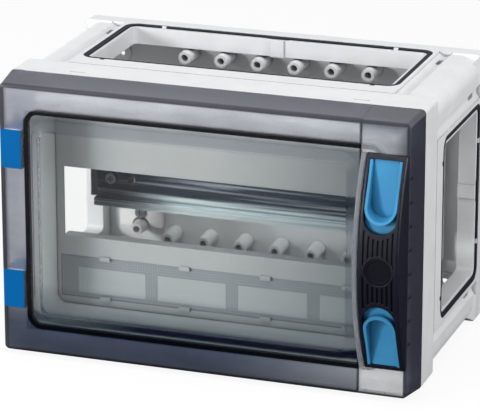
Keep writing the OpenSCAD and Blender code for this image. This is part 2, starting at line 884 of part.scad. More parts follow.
// Raised field of the window, set in by a distance and moved back by another
module window_field(inset, back) {
    w = field_x1 - field_x0 - 2 * inset;
    h = box_h - 2 * (field_margin + field_slope) - 2 * inset;
    hull($fn = 32) {
        slab(door_front - back - e, door_front - back) translate([(field_x0 + field_x1) / 2, 0])
            rounded(w + 2 * field_slope, h + 2 * field_slope, field_r + field_slope, $fn = 32);
        slab(door_front - back, door_front - back + field_h) translate([(field_x0 + field_x1) / 2, 0])
            rounded(w, h, field_r, $fn = 32);
    }
}

module door_window() {
    fit = hinge_h / 2 + hinge_fit;
    color("#8a8f98", 0.45) difference() {
        union() {
            door_shell(-far, seam_x - strip_gap / 2);
            window_field(0, 0);
        }
        window_field(door_t / 2, door_t);
        for (s = [-1, 1]) {
            block(-far, -half_w + door_taper + hinge_w, 0, far, s * hinge_z - fit, s * hinge_z + fit);
        }
    }
}

// Barrel-shaped form of the bow between two widths, with rounded rims
module bow(x0, x1, r, edge) {
    at(0, door_front + bow_c, 0) rotate([0, 90, 0]) rotate_extrude($fn = 180) {
        translate([0, x0 + edge]) square([r, x1 - x0 - 2 * edge]);
        translate([0, x0]) square([r - edge, x1 - x0]);
        for (x = [x0 + edge, x1 - edge]) {
            translate([r - edge, x]) circle(edge);
        }
    }
}

// Shape of a latch slide's opening in the front view, about the grip's middle
module slide_outline(r, inner, outer) {
    translate([grip_x, inner + r]) circle(r);
    translate([grip_x - r, inner + r]) square([2 * r, outer - inner - r]);
}

// Repeats a shape above and below the middle
module above_and_below() {
    for (s = [0, 1]) {
        at(0, y_wall, 0) mirror([0, 0, s]) at(0, y_wall, -2 * half_h) children();
    }
}

// Right part of the door, with the rib beside the grip and the slots for the hook legs
module latch_strip() {
    leg_in = hook_z - hook_t / 2 - latch_travel - slide_clear;
    leg_out = hook_z + hook_t / 2 + slide_clear;
    leg_x = hook_w / 2 + slide_clear;
    color("#7c818b", 0.55) difference() {
        union() {
            door_shell(seam_x + strip_gap / 2, far);
            intersection() {
                bow(grip_x0 - rib_gap - rib_w, grip_x0 - rib_gap, bow_r - rib_sink, rib_w / 3);
                block(0, half_w, door_front - e, far, -grip_h / 2, grip_h / 2);
            }
        }
        for (s = [-1, 1]) {
            block(hook_x - leg_x, hook_x + leg_x, door_front - 2 * door_t, door_front + e,
                min(s * leg_in, s * leg_out), max(s * leg_in, s * leg_out));
        }
        for (z = row(notches, grip_h / (notches + 1))) {
            block(half_w - door_taper - notch_d, half_w, door_front - notch_l, door_front + e,
                z - notch_w / 2, z + notch_w / 2);
        }
    }
}

module door_seal() {
    w = collar_w - collar_t + door_seal_w;
    h = collar_hh - collar_t + door_seal_w;
    r = collar_r - collar_t / 2 + door_seal_w / 2;
    color("#1c1d26") slab(collar_front + door_seal_gap, door_front - door_t) difference() {
        rounded(w, h, r);
        rounded(w - 2 * door_seal_w, h - 2 * door_seal_w, r - door_seal_w);
    }
}

// Hinge half that fills a notch of the door's edge and turns on a pin
module hinge_block(z) {
    x1 = -half_w + door_taper + hinge_w - hinge_fit;
    color("#0a6cb0") difference() {
        intersection() {
            door_form(0, door_back, door_front, door_edge);
            block(-far, x1, 0, far, z - hinge_h / 2, z + hinge_h / 2);
            union() {
                at(pin_x, pin_d, -half_h) cylinder(r = inner_swing_r, h = box_h);
                block(-far, x1, pin_d, far, -half_h, half_h);
            }
        }
        plan(z - ear_t / 2 - 2 * hinge_fit, z + ear_t / 2 + 2 * hinge_fit) {
            translate([pin_x, pin_d]) circle(ear_r + swing_clear);
            translate([-far, 0]) square([far + pin_x + ear_r + swing_clear, pin_d]);
            translate([-far, 0]) square([far + pin_x, pin_d + notch_rise]);
        }
        at(pin_x, pin_d, -half_h) cylinder(r = pin_r + pin_clear, h = box_h);
    }
}

module hinge_block_upper() {
    hinge_block(hinge_z);
}

module hinge_block_lower() {
    hinge_block(-hinge_z);
}

// Grooves of the grip in the front view, between the two slides and round the plug
module grip_grooves() {
    count = 2 * floor(window_r / ridge_pitch) + 1;
    difference() {
        for (u = row(count, ridge_pitch)) {
            reach = window_in + window_r - sqrt(pow(window_r, 2) - pow(u, 2)) - 2 * ridge_w;
            translate([grip_x + u, 0]) slot(ridge_w, 2 * reach);
        }
        translate([grip_x, 0]) circle(plug_r + ridge_w);
    }
}

// Bowed handle that the hand closes round
module latch_grip() {
    half = grip_h / 2;
    color("#191a24") difference() {
        intersection() {
            bow(grip_x0, grip_x1, bow_r, grip_edge);
            block(grip_x0, grip_x1, door_front, far, -half, half);
        }
        intersection() {
            bow(grip_x0 + grip_side, grip_x1 - grip_side, bow_r - grip_t, sharp);
            block(grip_x0, grip_x1, door_front - e, far, -half + grip_side, half - grip_side);
        }
        above_and_below() slab(door_front - e, door_front + 2 * bow_h)
            slide_outline(window_r, window_in, slide_out + slide_clear);
        difference() {
            slab(door_front, door_front + 2 * bow_h) grip_grooves();
            bow(grip_x0 - e, grip_x1 + e, bow_r - ridge_d, sharp);
        }
        bar(grip_x, 0, door_front, door_front + 2 * bow_h, plug_r + plug_fit);
    }
}

// Round plug that closes the lock hole of the grip
module lock_plug() {
    flange_r = plug_r + plug_flange;
    seat = door_front + sqrt(pow(bow_r - grip_t, 2) - pow(flange_r, 2)) + bow_c - plug_seat_gap;
    color("#111219") difference() {
        intersection() {
            union() {
                bar(grip_x, 0, seat - plug_flange_t, door_front + 2 * bow_h, plug_r);
                bar(grip_x, 0, seat - plug_flange_t, seat, flange_r);
            }
            bow(grip_x0, grip_x1, bow_r - plug_sink, sharp);
        }
        bar(grip_x, 0, door_front + bow_h - 2 * plug_sink, door_front + 2 * bow_h, plug_r - ridge_w);
    }
}

// Slide with a finger dish outside and a hook inside, as the upper one
module latch_slide() {
    dish_out = slide_out + e;
    dish_in = slide_in + dish_rim;
    color("#3f93cf") {
        difference() {
            union() {
                intersection() {
                    slab(door_front + slide_foot, door_front + 2 * bow_h)
                        slide_outline(slide_r, slide_in, slide_out);
                    side(0, half_w) polygon([
                        [slide_in, door_front], [slide_out, door_front],
                        [slide_out, door_front + slide_top_out], [slide_in, door_front + slide_top_in]
                    ]);
                }
                intersection() {
                    slab(door_front + tongue_h - hook_t, door_front + tongue_h)
                        slide_outline(slide_r, tongue_in, slide_in + slide_w);
                    bow(grip_x0, grip_x1, bow_r - grip_t - slide_clear, sharp);
                }
            }
            intersection() {
                slab(door_front, door_front + 2 * bow_h)
                    slide_outline(slide_r - dish_rim, dish_in, dish_out);
                side(0, half_w) polygon([
                    [dish_in, door_front + slide_top_in - dish_d],
                    [dish_out, door_front + slide_top_out - dish_lip],
                    [dish_out, door_front + 2 * bow_h], [dish_in, door_front + 2 * bow_h]
                ]);
            }
        }
        side(hook_x - hook_w / 2, hook_x + hook_w / 2) polygon([
            [hook_z - hook_t / 2, door_front + slide_foot + hook_root], [hook_z - hook_t / 2, hook_back],
            [nose_out - hook_t / 2, hook_back], [nose_out, hook_back + hook_t / 2],
            [nose_out, hook_back + hook_t], [hook_z + hook_t / 2, hook_back + hook_t],
            [hook_z + hook_t / 2, door_front + slide_foot + hook_root]
        ]);
    }
}

module latch_slide_upper() {
    latch_slide();
}

module latch_slide_lower() {
    translate([0, 0, box_h]) mirror([0, 0, 1]) latch_slide();
}

base_box();
wall_seal_top();
wall_seal_bottom();
wall_seal_left();
wall_seal_right();
inner_cover();
label_strip();
label_cover();
din_rail();
rail_bracket_left();
rail_bracket_right();
rail_screws();
bracket_screws();
hinge_pin_upper();
hinge_pin_lower();
door_window();
latch_strip();
door_seal();
hinge_block_upper();
hinge_block_lower();
latch_grip();
lock_plug();
latch_slide_upper();
latch_slide_lower();
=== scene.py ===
# %% [markdown]
# An electrical enclosure with a smoked door
#
# The enclosure hangs on a wall and holds a row of switches on a rail. Its base is a light grey moulding,
# its door is smoked plastic, and two blue slides in a dark grip lock it. The solids come from a CAD model.
# They could be modelled again here, but then sizes and joints would drift apart. So the CAD is loaded as a
# fixed frame, and this lesson gives it light, a camera, soft edges and finishes.

# %% The frame
import math

import bpy
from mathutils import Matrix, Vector


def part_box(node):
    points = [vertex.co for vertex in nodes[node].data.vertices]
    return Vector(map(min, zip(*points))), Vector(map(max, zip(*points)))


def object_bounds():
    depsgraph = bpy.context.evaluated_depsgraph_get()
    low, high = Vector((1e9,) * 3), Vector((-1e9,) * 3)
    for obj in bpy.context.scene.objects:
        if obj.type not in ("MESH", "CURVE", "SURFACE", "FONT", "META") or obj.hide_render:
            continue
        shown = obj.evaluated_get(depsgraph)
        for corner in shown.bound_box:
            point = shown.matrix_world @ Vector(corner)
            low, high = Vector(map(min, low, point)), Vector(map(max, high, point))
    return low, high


MM = 0.001

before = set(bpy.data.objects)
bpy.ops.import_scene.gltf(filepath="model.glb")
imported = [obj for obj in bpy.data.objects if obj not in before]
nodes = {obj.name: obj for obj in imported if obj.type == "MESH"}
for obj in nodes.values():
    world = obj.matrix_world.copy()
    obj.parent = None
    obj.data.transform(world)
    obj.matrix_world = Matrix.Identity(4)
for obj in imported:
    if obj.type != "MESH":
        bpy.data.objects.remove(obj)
cad_low, cad_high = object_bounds()
middle = (cad_low + cad_high) / 2

# %% [markdown]
# The camera stands a little to the right of the front and looks down on the box, so the door, the upper
# wall and the right wall all show. A camera can be placed by eye in the viewport. Here its two angles, its
# distance and the point that it looks at are written down, because the angles say more than a position.

# %% The camera
VIEW_TURN = math.radians(19.18)
VIEW_RISE = math.radians(18.5)
VIEW_DISTANCE = 2.041
VIEW_TARGET = Vector((-0.0027, 0.0105, 0.0837))
VIEW_LENS = 240.4
SENSOR_WIDTH = 36.0
CLIP_NEAR = 0.05
CLIP_FAR = 20.0

towards_camera = Vector((
    math.sin(VIEW_TURN) * math.cos(VIEW_RISE),
    -math.cos(VIEW_TURN) * math.cos(VIEW_RISE),
    math.sin(VIEW_RISE),
))
bpy.ops.object.camera_add(
    location=VIEW_TARGET + towards_camera * VIEW_DISTANCE,
    rotation=(-towards_camera).to_track_quat("-Z", "Y").to_euler(),
)
camera = bpy.context.object
camera.name = "photo_view"
camera.data.lens = VIEW_LENS
camera.data.sensor_width = SENSOR_WIDTH
camera.data.clip_start = CLIP_NEAR
camera.data.clip_end = CLIP_FAR
bpy.context.scene.camera = camera
print("camera at", [round(c, 3) for c in camera.location])

# %% [markdown]
# The world, the floor and every finish are trees of nodes, which can be joined by hand in the Shader Editor.
# In code, a few helpers keep the trees short. One joins two sockets, one makes any node, and the others make
# what comes up most: a sum, a range, a blend of colours, and a material with its Principled shader. A Mix
# node keeps its colour sockets behind those of its other types, so they are picked by number.

# %% Helpers for nodes
MIX_SHARE = 0
MIX_FIRST = 6
MIX_SECOND = 7
MIX_RESULT = 2


def link(owner, source, target):
    """Joins two sockets of a material or of the world."""
    owner.node_tree.links.new(source, target)


def make(owner, kind, inputs=None, **settings):
    """A new node, with its settings, and with its inputs set to values or joined to sockets."""
    made = owner.node_tree.nodes.new(kind)
    for name, value in settings.items():
        setattr(made, name, value)
    for name, value in (inputs or {}).items():
        if isinstance(value, bpy.types.NodeSocket):
            link(owner, value, made.inputs[name])
        else:
            made.inputs[name].default_value = value
    return made


def math_node(owner, operation, first, second=0.0):
    """One Math node on one or two values or sockets."""
    return make(owner, "ShaderNodeMath", {0: first, 1: second}, operation=operation).outputs[0]


def spread(owner, value, start, end, low, high):
    """A value between two limits, spread over a range and held at its ends."""
    made = make(owner, "ShaderNodeMapRange", {
        "Value": value, "From Min": start, "From Max": end, "To Min": low, "To Max": high,
    })
    return made.outputs["Result"]


def ramp(owner, value, start, end):
    """A share that goes from 0 at a start to 1 at an end."""
    return spread(owner, value, start, end, 0.0, 1.0)


def mix(owner, share, first, second):
    """A colour between two colours or colour sockets."""
    sockets = {MIX_SHARE: share, MIX_FIRST: first, MIX_SECOND: second}
    return make(owner, "ShaderNodeMix", sockets, data_type="RGBA").outputs[MIX_RESULT]


def principled(name, **sockets):
    """A new material and its Principled shader, with constant sockets set by name."""
    mat = bpy.data.materials.new(name)
    mat.use_nodes = True
    shader = mat.node_tree.nodes["Principled BSDF"]
    for socket, value in sockets.items():
        shader.inputs[socket.replace("_", " ")].default_value = value
    return mat, shader


helpers = (link, make, math_node, spread, ramp, mix, principled)
print("helpers:", [helper.__name__ for helper in helpers])

# %% [markdown]
# A product picture has a plain white ground. The ground could be lit until it burns out, but then the pale
# box would burn out too. So the world answers the camera, mirrors and glass with white, and it lights the
# box with much less. The Light Path node tells these rays apart.

# %% White studio
AMBIENT = 0.30
SEEN_WHITE = 1.0
SKY_COLOUR = (1.0, 1.0, 1.0, 1.0)


def seen_directly(owner):
    """A value of 1 for rays from the camera, from gloss and through glass, and 0 for the rest."""
    path = make(owner, "ShaderNodeLightPath").outputs
    either = math_node(owner, "MAXIMUM", path["Is Camera Ray"], path["Is Glossy Ray"])
    return math_node(owner, "MAXIMUM", either, path["Is Transmission Ray"])


scene = bpy.context.scene
scene.view_settings.view_transform = "Standard"
world = bpy.data.worlds.new("white_studio")
scene.world = world
world.use_nodes = True
sky = world.node_tree.nodes["Background"]
sky.inputs["Color"].default_value = SKY_COLOUR
strength = spread(world, seen_directly(world), 0.0, 1.0, AMBIENT, SEEN_WHITE)
link(world, strength, sky.inputs["Strength"])
print(f"world at {AMBIENT}, and at {SEEN_WHITE} where it is seen")

# %% [markdown]
# Large lamps give soft light, as cloth boxes do in a studio. One sun lamp would be quicker, but its shadows
# are hard. The strongest lamp here comes from the left front, so the screw domes inside throw their shadows
# to the right. The others lift the upper wall, the right wall, the lower front and the back.

# %% Lamps
def softbox(name, place, width, power):
    """A square area lamp that faces the middle of the enclosure."""
    bpy.ops.object.light_add(
        type="AREA", location=place,
        rotation=(middle - Vector(place)).to_track_quat("-Z", "Y").to_euler(),
    )
    lamp = bpy.context.object
    lamp.name = name
    lamp.data.size = width
    lamp.data.energy = power
    return lamp


lamps = [
    softbox("key_left", (-0.84, -1.25, 0.42), width=0.25, power=13.0),
    softbox("top_sheet", (-0.1, -0.5, 1.3), width=0.7, power=10.6),
    softbox("fill_right", (1.4, -0.3, 0.55), width=0.6, power=11.0),
    softbox("low_front", (-0.70, -1.35, 0.06), width=0.4, power=7.0),
    softbox("back_fill", (-1.4, 1.0, 0.35), width=0.6, power=6.0),
]
print("lamps:", [lamp.name for lamp in lamps])

# %% [markdown]
# The floor is a wide pale sheet under the box. A plane with a plain diffuse shader would come out grey in
# places, so most of what the camera sees of it is plain white, and the rest keeps the soft shadow. To the
# light that bounces off it, it is a darker sheet, which sends less light up.

# %% Floor
FLOOR_SIZE = 12.0
FLOOR_DROP = 0.5 * MM
FLOOR_WHITE_SHARE = 0.90
FLOOR_SEEN = (0.92, 0.92, 0.92, 1.0)
FLOOR_BOUNCE = (0.45, 0.45, 0.45, 1.0)

bpy.ops.object.select_all(action="DESELECT")
bpy.ops.mesh.primitive_plane_add(size=FLOOR_SIZE, location=(0, 0, -FLOOR_DROP))
floor = bpy.context.object
floor.name = "floor"
paper = bpy.data.materials.new("white_paper")
paper.use_nodes = True
paper.node_tree.nodes.remove(paper.node_tree.nodes["Principled BSDF"])
seen = seen_directly(paper)
tone = mix(paper, seen, FLOOR_BOUNCE, FLOOR_SEEN)
matt = make(paper, "ShaderNodeBsdfDiffuse", {"Color": tone}).outputs[0]
white = make(paper, "ShaderNodeEmission").outputs[0]
share = math_node(paper, "MULTIPLY", seen, FLOOR_WHITE_SHARE)
blend = make(paper, "ShaderNodeMixShader", {0: share, 1: matt, 2: white}).outputs[0]
link(paper, blend, paper.node_tree.nodes["Material Output"].inputs["Surface"])
floor.data.materials.append(paper)
print("floor", floor.dimensions[:2])

# %% [markdown]
# Clear plastic and bright steel look flat when all they mirror is white. Photographers put black sheets out
# of sight beside such things. Here one lies on the floor before the box, one lies under it and to its right,
# and one stands far in front. They are hidden from the camera, from matt surfaces and from the view through
# glass, and they cast no shadow. So only what mirrors them grows darker: the door, the grip and the rail.

# %% Black sheets
FELT = (0.03, 0.03, 0.04, 1.0)
SHEET_REACH = 0.9
SHEET_WIDTH = 0.45
SHEET_GAP = 0.02
SHEET_LEVEL = -0.2 * MM
CARD_HEIGHT = 0.6

felt = principled("black_felt", Base_Color=FELT, Specular_IOR_Level=0.0)[0]


def black_sheet(name, low, high, turn=0.0):
    """A sheet between two corners, flat or turned to stand up, which only mirroring surfaces show."""
    bpy.ops.object.select_all(action="DESELECT")
    bpy.ops.mesh.primitive_plane_add(size=1.0, location=(low + high) / 2, rotation=(turn, 0.0, 0.0))
    sheet = bpy.context.object
    sheet.name = name
    size = high - low
    sheet.scale = (size.x, size.y if turn == 0.0 else size.z, 1.0)
    bpy.ops.object.transform_apply(location=True, rotation=True, scale=True)
    sheet.data.materials.append(felt)
    sheet.visible_camera = False
    sheet.visible_shadow = False
    sheet.visible_diffuse = False
    sheet.visible_transmission = False
    print(name, [round(side, 2) for side in sheet.dimensions])


near = cad_low.y - SHEET_GAP
far = near - SHEET_REACH
right = cad_high.x + SHEET_GAP + SHEET_WIDTH
front_sheet = (Vector((-SHEET_WIDTH, far, SHEET_LEVEL)), Vector((right, near, SHEET_LEVEL)))
right_sheet = (Vector((cad_low.x, near, SHEET_LEVEL)), Vector((right, SHEET_REACH, SHEET_LEVEL)))
standing_card = (Vector((-SHEET_WIDTH, far, 0.0)), Vector((right, far, CARD_HEIGHT)))
black_sheet("front_sheet", *front_sheet)
black_sheet("right_sheet", *right_sheet)
black_sheet("standing_card", *standing_card, turn=math.pi / 2)

# %% [markdown]
# Every finish here starts from the Principled shader and reads Object coordinates, which are metres on the
# part. Image textures would need files and UV maps, while noise nodes work on any shape at a real scale.
# These helpers give a place on the part, noise there and a range for it, a shade of a colour, and a finish
# to its pieces.

# %% Helpers for finishes
NOISE_LOW = 0.3
NOISE_HIGH = 0.7
UNSTRETCHED = (1.0, 1.0, 1.0)
UNMOVED = (0.0, 0.0, 0.0)


def part_place(mat, scale=UNSTRETCHED, shift=UNMOVED):
    """Object coordinates, stretched and moved."""
    place = make(mat, "ShaderNodeTexCoord")
    mapping = make(mat, "ShaderNodeMapping", {
        "Vector": place.outputs["Object"], "Scale": scale, "Location": shift,
    })
    return mapping.outputs["Vector"]


def part_axes(mat, shift=UNMOVED):
    """Object coordinates, moved, as separate X, Y and Z."""
    return make(mat, "ShaderNodeSeparateXYZ", {0: part_place(mat, shift=shift)}).outputs


def noise(mat, place, scale, detail=3.0):
    """Noise between about 0 and 1 with features of 1 / scale metres."""
    made = make(mat, "ShaderNodeTexNoise", {"Vector": place, "Scale": scale, "Detail": detail})
    return made.outputs["Fac"]


def between(mat, value, low, high):
    """A value from 0.3 to 0.7, as noise gives, spread over a range."""
    return spread(mat, value, NOISE_LOW, NOISE_HIGH, low, high)


def shade(colour, factor):
    """A colour made lighter or darker, with its alpha."""
    return tuple(min(1.0, c * factor) for c in colour[:3]) + (1.0,)


def dress(mat, *names):
    """Gives a finish to CAD pieces."""
    for name in names:
        nodes[name].data.materials.clear()
        nodes[name].data.materials.append(mat)
    print(f"{mat.name}: {', '.join(names)}")


print("pieces to dress:", len(nodes))

# %% [markdown]
# Most of the pieces are moulded plastic. Its colour and its gloss drift a little, the mould leaves a fine
# grain, and no edge is quite sharp. Narrow gaps get painted shade. Edges could be bevelled in the mesh, but
# these meshes belong to the CAD and stay as they are. So a Bevel node rounds the edges for the light alone,
# and an Ambient Occlusion node finds the gaps and paints shade into their colour.

# %% Moulded plastic
EDGE_ROUND = 0.5 * MM
EDGE_RAYS = 4
GAP_REACH = 4 * MM
GAP_RAYS = 6
GAP_SHADE = 0.3
MOTTLE_SCALE = 45.0
GLOSS_SCALE = 220.0
GLOSS_DRIFT = 0.05
GRAIN_STRENGTH = 0.5
FINE_GRAIN = 0.7 * MM
FINE_DEPTH = 0.04 * MM


# Painted shade: Ambient Occlusion darkens the colour in narrow gaps.
def painted_gap_shade(mat, tint, colour):
    """A tint with painted shade: it falls off to a dark shade of the colour where other faces are close."""
    gap = make(mat, "ShaderNodeAmbientOcclusion", {"Distance": GAP_REACH}, samples=GAP_RAYS).outputs["AO"]
    return mix(mat, between(mat, gap, 0.0, 1.0), shade(colour, GAP_SHADE), tint)


def moulded(name, colour, roughness, grain=FINE_GRAIN, depth=FINE_DEPTH, mottle=0.04, **sockets):
    """Moulded, textured plastic: faint mottling, painted gap shade, uneven gloss, a fine grain, round edges.
    """
    mat, shader = principled(name, **sockets)
    place = part_place(mat)
    cloud = between(mat, noise(mat, place, MOTTLE_SCALE, detail=4.0), 0.0, 1.0)
    tint = mix(mat, cloud, shade(colour, 1 - mottle), shade(colour, 1 + mottle))
    link(mat, painted_gap_shade(mat, tint, colour), shader.inputs["Base Color"])
    patches = noise(mat, place, GLOSS_SCALE)
    gloss = between(mat, patches, roughness - GLOSS_DRIFT, roughness + GLOSS_DRIFT)
    link(mat, gloss, shader.inputs["Roughness"])
    round_edge = make(mat, "ShaderNodeBevel", {"Radius": EDGE_ROUND}, samples=EDGE_RAYS).outputs["Normal"]
    fine = noise(mat, place, 1.0 / grain, detail=2.0)
    bump = make(mat, "ShaderNodeBump", {
        "Height": fine, "Strength": GRAIN_STRENGTH, "Distance": depth, "Normal": round_edge,
    })
    link(mat, bump.outputs["Normal"], shader.inputs["Normal"])
    return mat


print(f"edges look rounded by {EDGE_ROUND / MM} mm")

# %% [markdown]
# The base, the inner cover and the rail stands are moulded in grey plastic with a satin skin. A flat grey
# would look like a drawing, so the recipe above lets it drift by a few percent. The stands are a shade
# whiter than the base, as parts from another batch of plastic are. The cover is a deeper grey, which is
# painted shade for the dim light that reaches it behind the smoked door.

# %% Grey mouldings
GREY_BASE = (0.70, 0.715, 0.725, 1.0)
# The cover's deeper grey is painted shade for the dim light behind the door.
GREY_COVER_SHADED = (0.40, 0.413, 0.418, 1.0)
WHITE_STAND = (0.80, 0.81, 0.80, 1.0)

base_grey = moulded("base_grey", GREY_BASE, roughness=0.46, Specular_IOR_Level=0.4)
cover_grey = moulded("cover_grey", GREY_COVER_SHADED, roughness=0.42, mottle=0.03)
stand_white = moulded("stand_white", WHITE_STAND, roughness=0.40, mottle=0.03)
dress(base_grey, "base_box")
dress(cover_grey, "inner_cover")
dress(stand_white, "rail_bracket_left", "rail_bracket_right")

# %% [markdown]
# The gaskets are soft black rubber. Rubber is never quite black and has almost no gloss, so the colour stays
# above zero, the roughness is high, and a coarse grain breaks up what shine is left.

# %% Rubber gaskets
RUBBER = (0.016, 0.016, 0.022, 1.0)
COARSE_GRAIN = 1.1 * MM
COARSE_DEPTH = 0.12 * MM

rubber = moulded(
    "rubber_black", RUBBER, roughness=0.66, grain=COARSE_GRAIN, depth=COARSE_DEPTH, mottle=0.25,
    Specular_IOR_Level=0.1,
)
dress(rubber, "wall_seal_top", "wall_seal_bottom", "wall_seal_left", "wall_seal_right", "door_seal")

# %% [markdown]
# Screws and hinge pins are steel that has gone dull in patches. The pins are drawn wire, with fine lines
# along their length. An anisotropic shader can draw such lines, but stretched noise that drives roughness
# and bump shows them too, and it keeps its look in other programs. The screws' noise isn't stretched.

# %% Screws and pins
SCREW_GREY = (0.24, 0.26, 0.28, 1.0)
PIN_GREY = (0.58, 0.60, 0.62, 1.0)
DULL_SHADE = 0.8
PATCH_SCALE = 60.0
LINE_SCALE = 2200.0
LINE_STRENGTH = 0.08
LINE_DEPTH = 0.02 * MM
LINE_SHINE = 0.02
LINE_HAZE = 0.03
PIN_STRETCH = (1.0, 1.0, 0.05)


def patchy(mat):
    """An age that drifts in soft clouds."""
    return between(mat, noise(mat, part_place(mat), PATCH_SCALE, detail=4.0), 0.0, 1.0)


def drawn_steel(name, fresh_and_lit, old_and_shaded, age_and_shade, roughness, stretch=UNSTRETCHED):
    """Metal with fine lines one way, in stretched noise, and its own age; on the rail that age is painted
    shade.
    """
    mat, shader = principled(name, Metallic=1.0)
    streak = noise(mat, part_place(mat, scale=stretch), LINE_SCALE, detail=4.0)
    # For the screws and pins this mix is real dullness, and for the rail it paints light and shade.
    tint = mix(mat, age_and_shade(mat), fresh_and_lit, old_and_shaded)
    link(mat, painted_gap_shade(mat, tint, old_and_shaded), shader.inputs["Base Color"])
    gloss = between(mat, streak, roughness - LINE_SHINE, roughness + LINE_HAZE)
    link(mat, gloss, shader.inputs["Roughness"])
    bump = make(mat, "ShaderNodeBump", {
        "Height": streak, "Strength": LINE_STRENGTH, "Distance": LINE_DEPTH,
    })
    link(mat, bump.outputs["Normal"], shader.inputs["Normal"])
    return mat


dull_screw = shade(SCREW_GREY, DULL_SHADE)
dull_pin = shade(PIN_GREY, DULL_SHADE)
screw_steel = drawn_steel("screw_steel", SCREW_GREY, dull_screw, patchy, roughness=0.36)
pin_steel = drawn_steel("pin_steel", PIN_GREY, dull_pin, patchy, roughness=0.28, stretch=PIN_STRETCH)
dress(screw_steel, "rail_screws", "bracket_screws")
dress(pin_steel, "hinge_pin_upper", "hinge_pin_lower")

# %% [markdown]
# The rail is rolled steel strip with zinc on it. The rolls leave streaks along its length. Its colour also
# carries painted shade and painted light: dark at the upper edge and the left end, where the cover shades
# it, and bright low down, where the light falls on it. The dark parts could be painted by hand, but here
# the place on the rail sets them, and stretched noise adds the streaks. Its holes show the stands behind
# it, which lie in deep shade there, so the stands' faces under the rail get painted shade too.

# %% The rail
# Painted light and shade: the zinc is bright low on the rail and dark at its top and left end.
ZINC_LIT = (0.60, 0.68, 0.70, 1.0)
ZINC_SHADED = (0.016, 0.024, 0.04, 1.0)
RAIL_BAND = 75.0 * MM
RAIL_TOP = 84.0 * MM
RAIL_LEFT = -90.0 * MM
RAIL_MIDDLE = -30.0 * MM
RAIL_END_SHADE = 0.8
RAIL_STREAK = 0.42
RAIL_STRETCH = (0.08, 1.0, 1.0)
ROLL_STRETCH = (0.02, 1.0, 1.0)
ROLL_SCALE = 460.0
SEAT_SKIN = 0.3 * MM
SEAT_SHADE = (0.03, 0.03, 0.035, 1.0)


def painted_shade_and_streaks(mat):
    """Painted shade: lit at the rail's lower edge, shaded at its upper edge and left end, with streaks."""
    axes = part_axes(mat)
    upper = ramp(mat, axes["Z"], RAIL_BAND, RAIL_TOP)
    left = spread(mat, axes["X"], RAIL_LEFT, RAIL_MIDDLE, RAIL_END_SHADE, 0.0)
    rolled = noise(mat, part_place(mat, scale=ROLL_STRETCH), ROLL_SCALE)
    streaks = between(mat, rolled, -RAIL_STREAK, RAIL_STREAK)
    return math_node(mat, "ADD", math_node(mat, "MAXIMUM", upper, left), streaks)


def shaded_seat(mat, front):
    """Darkens the faces of a stand that the rail covers, which only show in the holes of the rail."""
    shader = mat.node_tree.nodes["Principled BSDF"]
    tint = shader.inputs["Base Color"].links[0].from_socket
    seat = math_node(mat, "LESS_THAN", part_axes(mat)["Y"], front + SEAT_SKIN)
    link(mat, mix(mat, seat, tint, SEAT_SHADE), shader.inputs["Base Color"])


rail_zinc = drawn_steel(
    "rail_zinc", ZINC_LIT, ZINC_SHADED, painted_shade_and_streaks, roughness=0.33, stretch=RAIL_STRETCH,
)
dress(rail_zinc, "din_rail")
shaded_seat(stand_white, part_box("din_rail")[1].y)

# %% [markdown]
# The label strip is a white card with one writing field for every three switches, and a ruled grey grid
# round the fields. It could be an image, but a few Math nodes draw it from the real sizes: a repeating
# position along the strip picks the fields, and two finer ones rule the grid.

# %% Label card
FIELD_PITCH = 54 * MM
FIELD_COLUMN = 8.5 * MM
FIELD_FIRST = -2 * FIELD_PITCH
FIELD_LOW = 29.5 * MM
FIELD_HIGH = 46.0 * MM
GRID_PITCH = 1.7 * MM
GRID_LINE = 0.28
FIBRE_SCALE = 900.0
FIBRE_DRIFT = 0.015
CARD_WHITE = (0.455, 0.472, 0.477, 1.0)
CARD_GRID = (0.245, 0.257, 0.282, 1.0)
CARD_LINE = (0.345, 0.363, 0.38, 1.0)


def writing_field(mat, axes):
    """A value of 1 in the writing fields, and 0 round them."""
    along = math_node(mat, "SUBTRACT", axes["X"], FIELD_FIRST)
    unit = make(mat, "ShaderNodeMath", {0: along, 1: FIELD_PITCH, 2: 0.0}, operation="WRAP").outputs[0]
    field = math_node(mat, "GREATER_THAN", unit, FIELD_COLUMN)
    limits = (
        ("X", "GREATER_THAN", FIELD_FIRST),
        ("Z", "GREATER_THAN", FIELD_LOW),
        ("Z", "LESS_THAN", FIELD_HIGH),
    )
    for axis, operation, limit in limits:
        field = math_node(mat, "MULTIPLY", field, math_node(mat, operation, axes[axis], limit))
    return field


def ruled_grid(mat, axes):
    """A grey with lines both ways, at a fixed pitch."""
    lines = []
    for axis in ("X", "Z"):
        cell = math_node(mat, "FRACT", math_node(mat, "DIVIDE", axes[axis], GRID_PITCH))
        lines.append(math_node(mat, "LESS_THAN", cell, GRID_LINE))
    return mix(mat, math_node(mat, "MAXIMUM", *lines), CARD_GRID, CARD_LINE)


def label_card():
    """White card with ruled fields, drawn from the place along the strip and the height."""
    mat, shader = principled("label_card", Roughness=0.55)
    axes = part_axes(mat)
    fibre = between(mat, noise(mat, part_place(mat), FIBRE_SCALE), 0.0, 1.0)
    card = mix(mat, fibre, shade(CARD_WHITE, 1 - FIBRE_DRIFT), shade(CARD_WHITE, 1 + FIBRE_DRIFT))
    drawn = mix(mat, writing_field(mat, axes), ruled_grid(mat, axes), card)
    link(mat, drawn, shader.inputs["Base Color"])
    return mat


dress(label_card(), "label_strip")

# %% [markdown]
# The strip over the card is clear plastic, and the door is the same plastic with smoke in it. Glass shaders
# bend light, and that leaves what lies behind them dark and noisy. So shadow rays and diffuse rays meet a
# straight-through shader instead. They cross two surfaces, one on the way in and one on the way out. So at
# each one this shader takes the square root of the tint, which is its colour to the power of one half.

# %% Clear plastic
PLASTIC_IOR = 1.42
ONE_CROSSING = 0.5
CLEAR_STRIP = (0.95, 0.97, 0.97, 1.0)
CLEAR_ROUGH = 0.08


